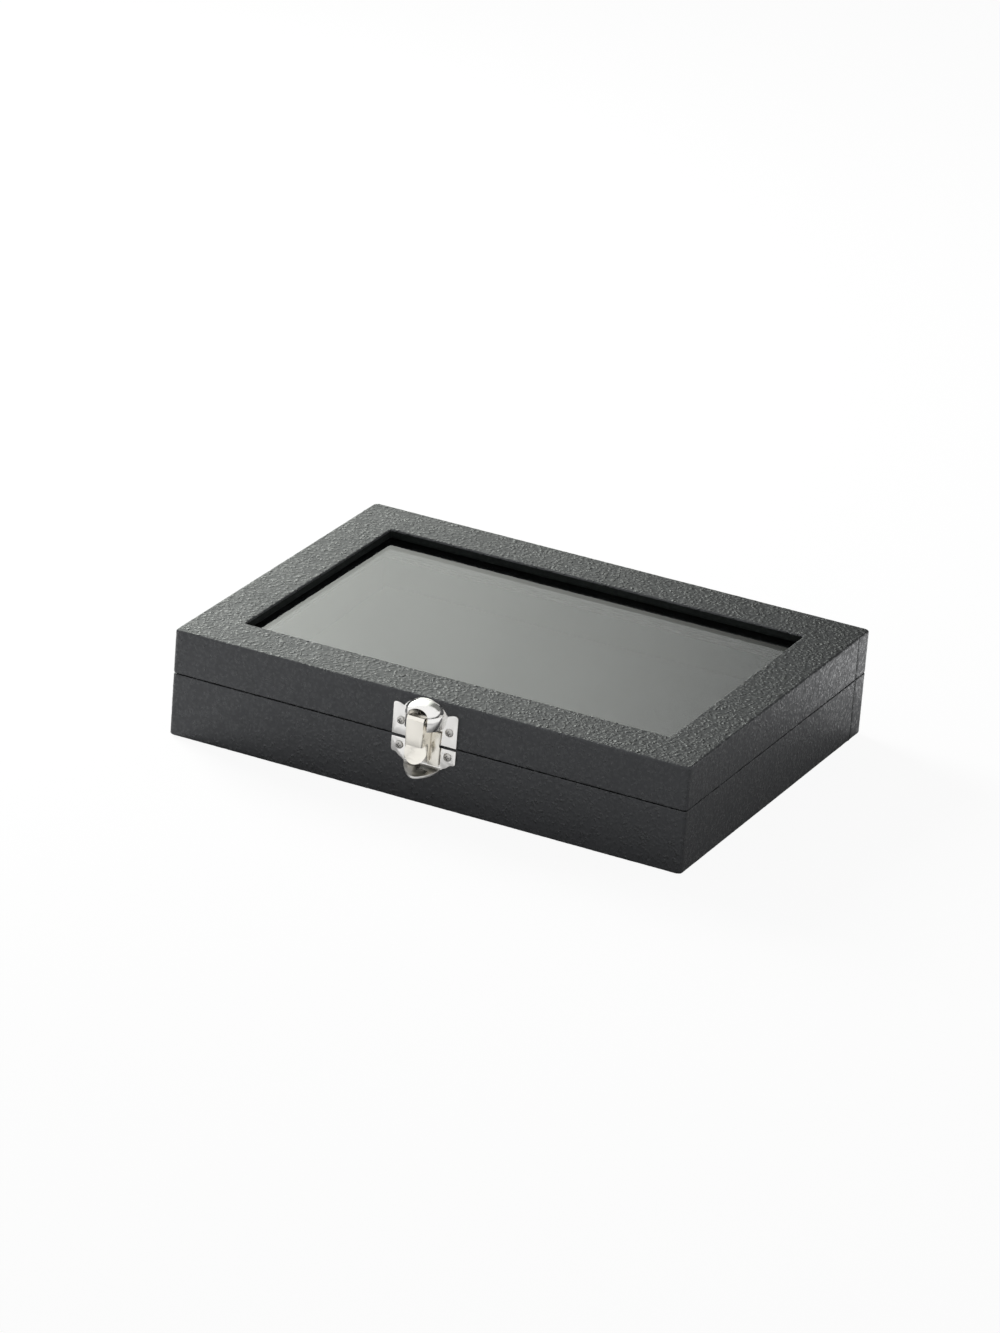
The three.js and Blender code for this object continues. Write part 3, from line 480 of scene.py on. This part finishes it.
# %% Grain modifiers
CURL_SIZE, CURL_RELIEF = 2.2 * MM, 0.05 * MM
WAVE_SIZE, WAVE_RELIEF = 14 * MM, 0.06 * MM
CURL_DISTORTION = 1.4


def press_grain(skin, texture_kind, size, relief):
    texture = bpy.data.textures.new(f"{skin.name}_{texture_kind.lower()}", texture_kind)
    texture.noise_scale = size
    if texture_kind == "DISTORTED_NOISE":
        texture.distortion = CURL_DISTORTION
    modifier = skin.modifiers.new(texture_kind.lower(), "DISPLACE")
    modifier.texture = texture
    modifier.texture_coords = "LOCAL"
    modifier.vertex_group = "pressed"
    modifier.mid_level = 0.5
    modifier.strength = relief


def apply_modifiers(piece):
    """Swaps the piece's mesh for the one that its modifiers make."""
    bpy.context.view_layer.update()
    graph = bpy.context.evaluated_depsgraph_get()
    baked = bpy.data.meshes.new_from_object(piece.evaluated_get(graph))
    piece.modifiers.clear()
    piece.data = baked


def dress(piece, material, body, slot, *replaced):
    """Gives a piece its finish and its body, and hides the nodes it stands for. The slot argument is
    not used.
    """
    piece.data.materials.clear()
    piece.data.materials.append(material)
    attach(piece, body)
    if replaced:
        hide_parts(*replaced)
    return piece


# %% [markdown]
# ## The lid's wrap
#
# The section starts behind the lid's lower inner edge, turns out under the wall, climbs the
# outside, crosses the rail and drops into the window as far as the glass. Then it returns inside
# itself, a film's thickness deeper, and closes. Its lower edge is sharper than its upper one, so
# that the seam between lid and tray is a thin line. Down the window the film is stretched over
# the rail's edge and its gloss is lost, so those faces get a dull finish of their own. The same
# happens along a hair line near each rear corner, where the film sinks into the butt joint
# between the back board and the side board.

# %% Lid wrap
STRETCHED_RELIEF = 0.1 * MM


def stretched_finish():
    material, tree, shader = new_finish("stretched_leatherette")
    grain = noise(tree, object_place(tree), PEBBLE_SIZE, detail=3.0)
    colour = ramp(tree, grain, [(0.3, (0.009, 0.011, 0.0105)), (0.7, (0.015, 0.018, 0.017))])
    tree.links.new(colour, shader.inputs["Base Color"])
    shader.inputs["Roughness"].default_value = 0.7
    shader.inputs["Specular IOR Level"].default_value = 0.12
    bump(tree, shader, grain, STRETCHED_RELIEF)
    return material


def lid_wrap():
    low, high = lid_low.z, lid_high.z
    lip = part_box("lid_lining_front")[0].z
    r, seam_r = EDGE_RADIUS, SEAM_RADIUS
    turn_in = wall + TURN_IN_SHEET
    outer = [(turn_in, lip), (turn_in, low)]
    outer += run((wall, low), (seam_r, low))
    outer += bend((seam_r, low + seam_r), seam_r, 270, 180)[1:]
    outer += run((0.0, low + seam_r), (0.0, high - r))[1:]
    outer += bend((r, high - r), r, 180, 90)[1:]
    path = stations(outer)
    first = np.array((r, r, high))
    last = np.array((rail_x - r, rail_y - r, high))
    path += run(first, last)[1:]
    path += stations([(p[0] - r, p[1]) for p in bend((0.0, high - r), r, 90, 0)[1:]], rail_x, rail_y)
    path += run((rail_x, rail_y, high - r), (rail_x, rail_y, rail_bottom))[1:]
    pressed_count = len(path)
    s = SKIN_SHEET
    path += [(rail_x - s, rail_y - s, rail_bottom), (rail_x - s, rail_y - s, high - s)]
    path += stations([(s, high - s), (s, low + s), (wall, low + s), (wall, lip)])
    return skin_ring("lid_wrap", path, lid_corner, pressed_count)


def lid_corner(inset):
    """The corner radius of a ring: it shrinks from the outside towards the window."""
    share = min(1.0, inset / rail_x)
    return CORNER_RADIUS + (WINDOW_CORNER_RADIUS - CORNER_RADIUS) * share


def dull_stretched_places(skin, material):
    """Gives the stretched finish to the faces down the window and in the sunk joint lines."""
    skin.data.materials.append(material)
    dull = 0
    for polygon in skin.data.polygons:
        x, y, z = polygon.center
        down_window = max(abs(x) - window_x, abs(y) - window_y) < SEAM_RADIUS
        if down_window and z < lid_high.z - EDGE_RADIUS:
            polygon.material_index = 1
            dull += 1
        if abs(x) > half_x - SEAM_RADIUS and abs(y - joint_y) < SKIN_STEP / 2:
            polygon.material_index = 1
            dull += 1
            for index in polygon.vertices:
                skin.data.vertices[index].co.x = math.copysign(half_x - JOINT_SINK, x)
    return dull


lid_skin = lid_wrap()
press_grain(lid_skin, "DISTORTED_NOISE", CURL_SIZE, CURL_RELIEF)
press_grain(lid_skin, "CLOUDS", WAVE_SIZE, WAVE_RELIEF)
apply_modifiers(lid_skin)
dress(lid_skin, leatherette, "lid", "leatherette", "lid_leatherette_wrap")
stretched_leatherette = stretched_finish()
dull = dull_stretched_places(lid_skin, stretched_leatherette)
print("lid wrap faces:", len(lid_skin.data.polygons), "of them stretched dull:", dull)

# %% [markdown]
# ## The tray's wrap
#
# The tray is wrapped the same way: down inside as far as the lining, over the top edge, down the
# outside and under the walls.

# %% Tray wrap
def tray_wrap():
    low, high = tray_low.z, tray_high.z
    lining_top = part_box("base_lining_front")[1].z
    r, seam_r = EDGE_RADIUS, SEAM_RADIUS
    turn_in = wall + TURN_IN_SHEET
    outer = [(turn_in, lining_top), (turn_in, high)]
    outer += run((wall, high), (seam_r, high))
    outer += bend((seam_r, high - seam_r), seam_r, 90, 180)[1:]
    outer += run((0.0, high - seam_r), (0.0, low + r))[1:]
    outer += bend((r, low + r), r, 180, 270)[1:]
    outer += run((r, low), (wall, low))[1:]
    pressed_count = len(outer)
    s = SKIN_SHEET
    outer += [(wall, low + s), (s, low + s), (s, high - s), (wall, high - s), (wall, lining_top)]
    return skin_ring("tray_wrap", stations(outer), lambda inset: CORNER_RADIUS, pressed_count)


tray_skin = tray_wrap()
press_grain(tray_skin, "DISTORTED_NOISE", CURL_SIZE, CURL_RELIEF)
press_grain(tray_skin, "CLOUDS", WAVE_SIZE, WAVE_RELIEF)
apply_modifiers(tray_skin)
dress(tray_skin, leatherette, "tray", "leatherette", "base_leatherette_wrap")
dull = dull_stretched_places(tray_skin, stretched_leatherette)
print("tray wrap faces:", len(tray_skin.data.polygons), "of them stretched dull:", dull)

# %% [markdown]
# ## Softened edges on the pressed metal
#
# A pressed plate has no razor edges: the press rolls one side and the plating rounds the other.
# The imported solid is exact but sharp, so each metal piece is a copy of its solid with the small
# facets merged and a fine bevel on every crease. The upward faces of the shelf on the tray plate's
# chin, from the tongue's tip down, get a dull dark grey nickel: painted shade and painted dark
# reflection.

# %% Softened copies
WELD_DISTANCE = 0.002 * MM
FLAT_ANGLE = math.radians(1.0)
CREASE_ANGLE = math.radians(34)


def softened_copy(node, name, width, steps=2):
    """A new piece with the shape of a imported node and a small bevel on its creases."""
    work = bmesh.new()
    work.from_mesh(frame["nodes"][node].data)
    bmesh.ops.remove_doubles(work, verts=work.verts, dist=WELD_DISTANCE)
    bmesh.ops.dissolve_limit(work, angle_limit=FLAT_ANGLE, verts=work.verts, edges=work.edges)
    bmesh.ops.recalc_face_normals(work, faces=work.faces)
    for face in work.faces:
        face.smooth = True
    mesh = bpy.data.meshes.new(name)
    work.to_mesh(mesh)
    work.free()
    piece = bpy.data.objects.new(name, mesh)
    bpy.context.scene.collection.objects.link(piece)
    modifier = piece.modifiers.new("edge", "BEVEL")
    modifier.width = width
    modifier.segments = steps
    modifier.limit_method = "ANGLE"
    modifier.angle_limit = CREASE_ANGLE
    modifier.harden_normals = True
    apply_modifiers(piece)
    return piece


PLATE_BEVEL = 0.16 * MM
HASP_BEVEL = 0.16 * MM
SCREW_BEVEL = 0.06 * MM
SHADED_SHELF_REACH = 2 * MM
SHELF_SLOPE = 0.3

dress(softened_copy("latch_lid_plate", "hooded_plate", PLATE_BEVEL), nickel, "lid", "nickel",
      "latch_lid_plate")
chin_plate = softened_copy("latch_base_plate", "chin_plate", PLATE_BEVEL)
dress(chin_plate, nickel, "tray", "nickel", "latch_base_plate")
chin_plate.data.materials.append(shaded_shelf_nickel)
chin_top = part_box("latch_hasp")[0].z
# Painted shade and painted dark reflection: the shelf faces under the tongue take the dark grey
# nickel.
for polygon in chin_plate.data.polygons:
    if polygon.center.z < chin_top + SHADED_SHELF_REACH and polygon.normal.z > SHELF_SLOPE:
        polygon.material_index = 1
dress(softened_copy("latch_hasp", "swing_hasp", HASP_BEVEL), hasp_nickel, "hasp", "nickel",
      "latch_hasp")
dress(softened_copy("latch_pin", "hasp_pin", SCREW_BEVEL), pin_steel, "lid", "pin_steel", "latch_pin")

# %% Hinges and screws
def body_of(node):
    """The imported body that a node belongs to."""
    return frame["nodes"][node]["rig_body"]


for side in ("left", "right"):
    for part, material, slot in (("base_leaf", nickel, "nickel"), ("lid_leaf", nickel, "nickel"),
                                 ("pin", pin_steel, "pin_steel")):
        node = f"hinge_{side}_{part}"
        piece = softened_copy(node, f"{side}_hinge_{part}", PLATE_BEVEL)
        dress(piece, material, body_of(node), slot, node)

screw_nodes = sorted(node for node in frame["nodes"] if "screw" in node)
for node in screw_nodes:
    dress(softened_copy(node, f"turned_{node}", SCREW_BEVEL), screw_nickel, body_of(node),
          "screw_nickel", node)
print("screws:", len(screw_nodes))

# %% [markdown]
# ## Glass and linings
#
# The pane is a flat sheet whose edges lie hidden in the lid, so it stays as packed and only gets
# its glass: any bevel would bend the reflections near its edges. The lining strips are card under
# velvet, and the velvet rounds their edges.

# %% Glass and linings
LINING_BEVEL = 0.3 * MM

pane = frame["nodes"]["lid_glass_pane"]
pane.data.materials.clear()
pane.data.materials.append(float_glass)
lining_nodes = sorted(node for node in frame["nodes"] if "_lining_" in node)
for node in lining_nodes:
    dress(softened_copy(node, f"velvet_{node}", LINING_BEVEL, steps=3), black_velvet, body_of(node),
          "velvet", node)
print("lining strips:", len(lining_nodes))

# %% [markdown]
# ## The velvet pad
#
# The pad is a sheet of foam under velvet, glued to a stiff board. Its top is crowned and its
# sides draw in where the cloth is pulled round. The foam is let swell a little as cloth under
# pressure, as a real cover does, and is held flat where it meets the board.

# %% Velvet pad
PAD_VOXEL = 3 * MM
PAD_SHRINK = 0.5 * MM
PAD_SWELL = 0.9 * MM
PAD_PRESSURE = 4.0
PAD_FRAMES = 20


def pad_blank():
    """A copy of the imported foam, drawn in a little and remeshed evenly."""
    source = frame["nodes"]["pad_velvet_cushion"]
    blank = bpy.data.objects.new("velvet_pad", source.data.copy())
    scene.collection.objects.link(blank)
    low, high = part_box("pad_velvet_cushion")
    middle, half = (low + high) / 2, (high - low) / 2
    for vertex in blank.data.vertices:
        for axis in (0, 1):
            share = (vertex.co[axis] - middle[axis]) / half[axis]
            vertex.co[axis] -= share * PAD_SHRINK
        if vertex.co.z > middle.z:
            vertex.co.z -= PAD_SHRINK
    remesh = blank.modifiers.new("even", "REMESH")
    remesh.mode = "VOXEL"
    remesh.voxel_size = PAD_VOXEL
    apply_modifiers(blank)
    return blank


def swell_as_cloth(pad, glued_below):
    """Blows the cover up for a few frames, glued to its board, and keeps the shape."""
    before = [vertex.co.copy() for vertex in pad.data.vertices]
    glued = pad.vertex_groups.new(name="glued")
    glued.add([v.index for v in pad.data.vertices if v.co.z < glued_below], 1.0, "REPLACE")
    cover = pad.modifiers.new("cover", "CLOTH")
    cover.settings.use_pressure = True
    cover.settings.uniform_pressure_force = PAD_PRESSURE
    cover.settings.effector_weights.gravity = 0.0
    cover.settings.vertex_group_mass = "glued"
    for number in range(1, PAD_FRAMES + 1):
        scene.frame_set(number)
    apply_modifiers(pad)
    scene.frame_set(1)
    for vertex, start in zip(pad.data.vertices, before):
        move = vertex.co - start
        if move.length > PAD_SWELL:
            vertex.co = start + move * (PAD_SWELL / move.length)


def velvet_pad():
    pad = pad_blank()
    low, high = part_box("pad_velvet_cushion")
    swell_as_cloth(pad, low.z + PAD_VOXEL / 3)
    smooth = pad.modifiers.new("round", "SUBSURF")
    smooth.levels = 1
    apply_modifiers(pad)
    for vertex in pad.data.vertices:
        for axis in range(3):
            vertex.co[axis] = min(max(vertex.co[axis], low[axis]), high[axis])
    for polygon in pad.data.polygons:
        polygon.use_smooth = True
    return pad


pad = velvet_pad()
dress(pad, black_velvet, "tray", "velvet", "pad_velvet_cushion")
print("pad faces:", len(pad.data.polygons))

# %% [markdown]
# ## Boards and card that stay as packed
#
# The boards, the floor, the pad's board and the underside sheet are flat stock with the right
# shape already, so they only get a better finish: raw board, stained board for the rails, and
# black card.

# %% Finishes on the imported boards
board_finishes = {"_wall": fibreboard, "floor_panel": fibreboard, "_rail": stained_board,
                  "pad_board": black_card, "underside_cover": black_card}
boards = 0
for name, node in frame["nodes"].items():
    for ending, finish in board_finishes.items():
        if name.endswith(ending):
            node.data.materials.clear()
            node.data.materials.append(finish)
            boards += 1
print("boards and card as packed:", boards)

# %% [markdown]
# ## Table and world
#
# The case stands on a white table in a white room. A white background could come from bright
# lamps, but those would wash out the black case. Instead the camera sees the table mostly as
# plain white, with a trace of the real shaded table mixed in, so the soft shadow stays. Metal and
# glass look at the real, shaded table, which gives their reflections a top and a bottom.

# %% Table
TABLE_SIZE = 12.0
PLAIN_WHITE_SHARE = 0.93
TABLE_COLOUR = (0.85, 0.85, 0.85, 1.0)
scene.view_settings.view_transform = "Standard"


def flat_sheet(name, corners):
    """A single four sided sheet in the scene."""
    mesh = bpy.data.meshes.new(name)
    mesh.from_pydata(corners, [], [(0, 1, 2, 3)])
    sheet = bpy.data.objects.new(name, mesh)
    scene.collection.objects.link(sheet)
    return sheet


def table_finish():
    material, tree, shader = new_finish("white_table")
    shader.inputs["Roughness"].default_value = 1.0
    shader.inputs["Specular IOR Level"].default_value = 0.0
    shader.inputs["Base Color"].default_value = TABLE_COLOUR
    plain = add_node(tree, "ShaderNodeEmission", Strength=1.0)
    seen = add_node(tree, "ShaderNodeLightPath").outputs["Is Camera Ray"]
    share = arithmetic(tree, "MULTIPLY", seen, PLAIN_WHITE_SHARE)
    mix = add_node(tree, "ShaderNodeMixShader", Fac=share)
    tree.links.new(shader.outputs["BSDF"], mix.inputs[1])
    tree.links.new(plain.outputs["Emission"], mix.inputs[2])
    tree.links.new(mix.outputs["Shader"], tree.nodes["Material Output"].inputs["Surface"])
    return material


half_table = TABLE_SIZE / 2
table = flat_sheet("table_top", [(-half_table, -half_table, 0), (half_table, -half_table, 0),
                                 (half_table, half_table, 0), (-half_table, half_table, 0)])
table.data.materials.append(table_finish())

# %% World
FILL_STRENGTH = 0.38
world = bpy.data.worlds.new("white_room")
world.use_nodes = True
room = world.node_tree
white_room = room.nodes["Background"]
white_room.inputs["Color"].default_value = (1.0, 1.0, 1.0, 1.0)
white_room.inputs["Strength"].default_value = 1.0
fill = add_node(room, "ShaderNodeBackground", Color=(1.0, 1.0, 1.0, 1.0), Strength=FILL_STRENGTH)
path_kind = add_node(room, "ShaderNodeLightPath")
seen = arithmetic(room, "MAXIMUM", path_kind.outputs["Is Camera Ray"],
                  path_kind.outputs["Is Glossy Ray"])
seen = arithmetic(room, "MAXIMUM", seen, path_kind.outputs["Is Transmission Ray"])
room_mix = add_node(room, "ShaderNodeMixShader", Fac=seen)
room.links.new(fill.outputs["Background"], room_mix.inputs[1])
room.links.new(white_room.outputs["Background"], room_mix.inputs[2])
room.links.new(room_mix.outputs["Shader"], room.nodes["World Output"].inputs["Surface"])
scene.world = world
print("fill light:", FILL_STRENGTH)

# %% [markdown]
# ## One soft lamp and one reflector
#
# A square lamp low on the left, a little behind, lights the table and lets the case throw its
# shadow to the right, which is why the right end looks so dark. The glass and the grain of the
# top mirror what stands behind the case: a tall paper reflector, bright at its left end and dim
# at its right end, and a trace green. The right end mirrors a white card that lies on the table
# behind it. Both sheets are there for reflections only, so they neither light nor shade the table.

# %% Lamp
LAMP_SIZE = 0.4
LAMP_POWER = 13.0
LAMP_PLACE = Vector((-0.75, 0.25, 0.45))
lamp_data = bpy.data.lights.new("soft_lamp", "AREA")
lamp_data.size = LAMP_SIZE
lamp_data.energy = LAMP_POWER
lamp = bpy.data.objects.new("soft_lamp", lamp_data)
lamp.location = LAMP_PLACE
lamp.rotation_euler = LAMP_PLACE.to_track_quat("Z", "Y").to_euler()
lamp.visible_glossy = False
scene.collection.objects.link(lamp)

# %% Reflector
REFLECTOR_Y = 0.42
REFLECTOR_LEFT, REFLECTOR_RIGHT = -0.95, 0.65
REFLECTOR_LOW, REFLECTOR_TOP = 0.02, 0.85
BRIGHT_END, DIM_END = -0.62, -0.05
BRIGHT_LEVEL, DIM_LEVEL = 5.15, 0.2
REFLECTOR_TINT = (0.967, 1.0, 0.935)
PATCH_SIZE = 0.06
DIMMEST_PATCH = 0.92


def glowing_finish(name, tint, bright_end, dim_end, bright_level, dim_level):
    """Paper that glows at one level at its bright end and at another at its dim end."""
    material, tree, shader = new_finish(name)
    along = add_node(tree, "ShaderNodeSeparateXYZ", Vector=object_place(tree)).outputs["X"]
    level = add_node(tree, "ShaderNodeMapRange", Value=along, From_Min=bright_end, From_Max=dim_end,
                     To_Min=bright_level, To_Max=dim_level).outputs["Result"]
    patches = noise(tree, object_place(tree), PATCH_SIZE, detail=3.0)
    uneven = ramp(tree, patches, [(0.3, DIMMEST_PATCH), (0.7, 1.0)])
    level = arithmetic(tree, "MULTIPLY", level, uneven)
    glow = add_node(tree, "ShaderNodeEmission", Color=(*tint, 1.0), Strength=level)
    tree.links.new(glow.outputs["Emission"], tree.nodes["Material Output"].inputs["Surface"])
    return material


def only_mirrored(sheet, material):
    """Keeps a sheet for reflections alone, so that it neither lights nor shades anything."""
    sheet.data.materials.append(material)
    sheet.visible_camera = False
    sheet.visible_diffuse = False
    sheet.visible_transmission = False
    sheet.visible_shadow = False


reflector = flat_sheet("paper_reflector", [
    (REFLECTOR_LEFT, REFLECTOR_Y, REFLECTOR_LOW), (REFLECTOR_RIGHT, REFLECTOR_Y, REFLECTOR_LOW),
    (REFLECTOR_RIGHT, REFLECTOR_Y, REFLECTOR_TOP), (REFLECTOR_LEFT, REFLECTOR_Y, REFLECTOR_TOP)])
only_mirrored(reflector, glowing_finish("reflector_paper", REFLECTOR_TINT, BRIGHT_END, DIM_END,
                                        BRIGHT_LEVEL, DIM_LEVEL))

# %% White card
CARD_LEFT, CARD_RIGHT = 0.10, 0.30
CARD_FRONT, CARD_BACK = 0.115, 0.30
CARD_HEIGHT = 1 * MM
CARD_LEVEL = 1.9
card = flat_sheet("white_card", [
    (CARD_LEFT, CARD_FRONT, CARD_HEIGHT), (CARD_RIGHT, CARD_FRONT, CARD_HEIGHT),
    (CARD_RIGHT, CARD_BACK, CARD_HEIGHT), (CARD_LEFT, CARD_BACK, CARD_HEIGHT)])
only_mirrored(card, glowing_finish("white_card_paper", (1.0, 1.0, 1.0), CARD_LEFT, CARD_RIGHT,
                                   CARD_LEVEL, CARD_LEVEL))
print("lamp, reflector and card stand in place")

# %% [markdown]
# ## Camera
#
# A long lens looks down on the case from the right of its front, tipped by a few degrees, as a
# hand held camera is.

# %% Camera
FRAME_HEIGHT = 1333
SENSOR_WIDTH = 36
FOCAL_PIXELS = 6654
CAMERA_AZIMUTH = math.radians(25.2)
CAMERA_ELEVATION = math.radians(22.84)
CAMERA_ROLL = math.radians(4.53)
CAMERA_DISTANCE = 2.513
AIM_RIGHT = -8.69 * MM
AIM_UP = 5.2 * MM

back = Vector((math.sin(CAMERA_AZIMUTH) * math.cos(CAMERA_ELEVATION),
               -math.cos(CAMERA_AZIMUTH) * math.cos(CAMERA_ELEVATION),
               math.sin(CAMERA_ELEVATION)))
right = Vector((math.cos(CAMERA_AZIMUTH), math.sin(CAMERA_AZIMUTH), 0))
up = back.cross(right)
turned_right = right * math.cos(CAMERA_ROLL) + up * math.sin(CAMERA_ROLL)
turned_up = up * math.cos(CAMERA_ROLL) - right * math.sin(CAMERA_ROLL)
middle = Vector((0, 0, lid_high.z / 2))

camera_data = bpy.data.cameras.new("studio_camera")
camera_data.sensor_width = SENSOR_WIDTH
camera_data.lens = FOCAL_PIXELS / FRAME_HEIGHT * camera_data.sensor_width
camera = bpy.data.objects.new("studio_camera", camera_data)
scene.collection.objects.link(camera)
camera.location = middle + back * CAMERA_DISTANCE + right * AIM_RIGHT + up * AIM_UP
camera.rotation_euler = Matrix((turned_right, turned_up, back)).transposed().to_euler()
scene.camera = camera
print("camera stands at", [round(v, 3) for v in camera.location])
